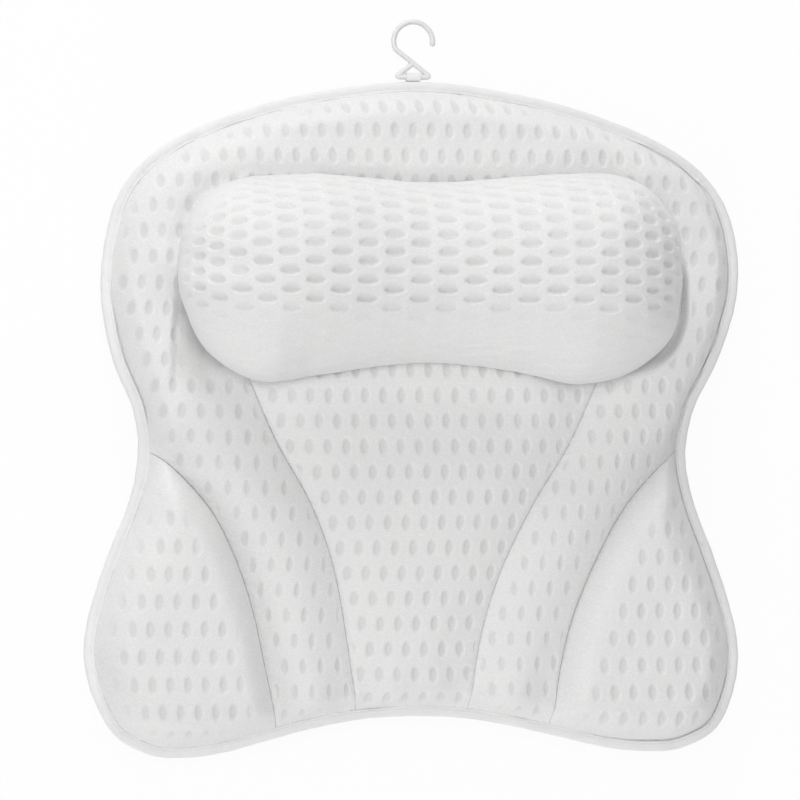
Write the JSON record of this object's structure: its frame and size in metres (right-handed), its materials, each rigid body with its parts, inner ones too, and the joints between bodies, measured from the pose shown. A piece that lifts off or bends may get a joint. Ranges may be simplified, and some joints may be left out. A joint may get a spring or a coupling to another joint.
{
  "type": "bath pillow",
  "caption": "Padded mesh bath pillow with a raised neck roll, side wings, suction cups on its back and a small folding hook to hang it up to dry.",
  "frame": {"origin": "middle of the bounding box's base: on the surface that the suction cups' rims stand on", "axes": "+X to the right as seen from the front, +Y up the pillow towards the hanging hook, +Z out of the padded front, towards the bather's head"},
  "size_m": [0.394, 0.4384, 0.1078],
  "materials": {
    "mesh_fabric": "white air-mesh knit with a raised dimple pattern",
    "fibre_filling": "white polyester filling, hidden by the covers",
    "back_fabric": "plain white mesh backing",
    "binding_tape": "white woven tape",
    "white_plastic": "smooth moulded white plastic",
    "clear_vinyl": "soft clear vinyl, glossy"
  },
  "bodies": {
    "pillow": {"border_cover": "mesh_fabric", "center_cover": "mesh_fabric", "right_wing_cover": "mesh_fabric", "left_wing_cover": "mesh_fabric", "neck_roll_cover": "mesh_fabric", "border_fill": "fibre_filling", "center_fill": "fibre_filling", "right_wing_fill": "fibre_filling", "left_wing_fill": "fibre_filling", "seat_fill": "fibre_filling", "neck_roll_fill": "fibre_filling", "back_panel": "back_fabric", "neck_roll_back": "back_fabric", "edge_binding": "binding_tape", "hanging_loop": "binding_tape", "eyelet_1": "white_plastic", "eyelet_2": "white_plastic", "eyelet_3": "white_plastic", "eyelet_4": "white_plastic", "eyelet_5": "white_plastic", "eyelet_6": "white_plastic", "eyelet_washer_1": "white_plastic", "eyelet_washer_2": "white_plastic", "eyelet_washer_3": "white_plastic", "eyelet_washer_4": "white_plastic", "eyelet_washer_5": "white_plastic", "eyelet_washer_6": "white_plastic"},
    "hook": {"hanging_hook": "white_plastic"},
    "cup_1": {"suction_cup_1": "clear_vinyl"},
    "cup_2": {"suction_cup_2": "clear_vinyl"},
    "cup_3": {"suction_cup_3": "clear_vinyl"},
    "cup_4": {"suction_cup_4": "clear_vinyl"},
    "cup_5": {"suction_cup_5": "clear_vinyl"},
    "cup_6": {"suction_cup_6": "clear_vinyl"}
  },
  "joints": [
    {"name": "hook_fold", "type": "hinge", "parent": "pillow", "child": "hook", "pos_m": [0, 0.18468, 0.01895], "axis": [1, 0, 0], "range_deg": [-100, 100]},
    {"name": "cup_1_turn", "type": "hinge", "parent": "pillow", "child": "cup_1", "pos_m": [0.11229, 0.09165, 0], "axis": [0, 0, 1], "continuous": true},
    {"name": "cup_2_turn", "type": "hinge", "parent": "pillow", "child": "cup_2", "pos_m": [0.12214, -0.02464, 0], "axis": [0, 0, 1], "continuous": true},
    {"name": "cup_3_turn", "type": "hinge", "parent": "pillow", "child": "cup_3", "pos_m": [0.13002, -0.14293, 0], "axis": [0, 0, 1], "continuous": true},
    {"name": "cup_4_turn", "type": "hinge", "parent": "pillow", "child": "cup_4", "pos_m": [-0.11229, 0.09165, 0], "axis": [0, 0, 1], "continuous": true},
    {"name": "cup_5_turn", "type": "hinge", "parent": "pillow", "child": "cup_5", "pos_m": [-0.12214, -0.02464, 0], "axis": [0, 0, 1], "continuous": true},
    {"name": "cup_6_turn", "type": "hinge", "parent": "pillow", "child": "cup_6", "pos_m": [-0.13002, -0.14293, 0], "axis": [0, 0, 1], "continuous": true}
  ]
}
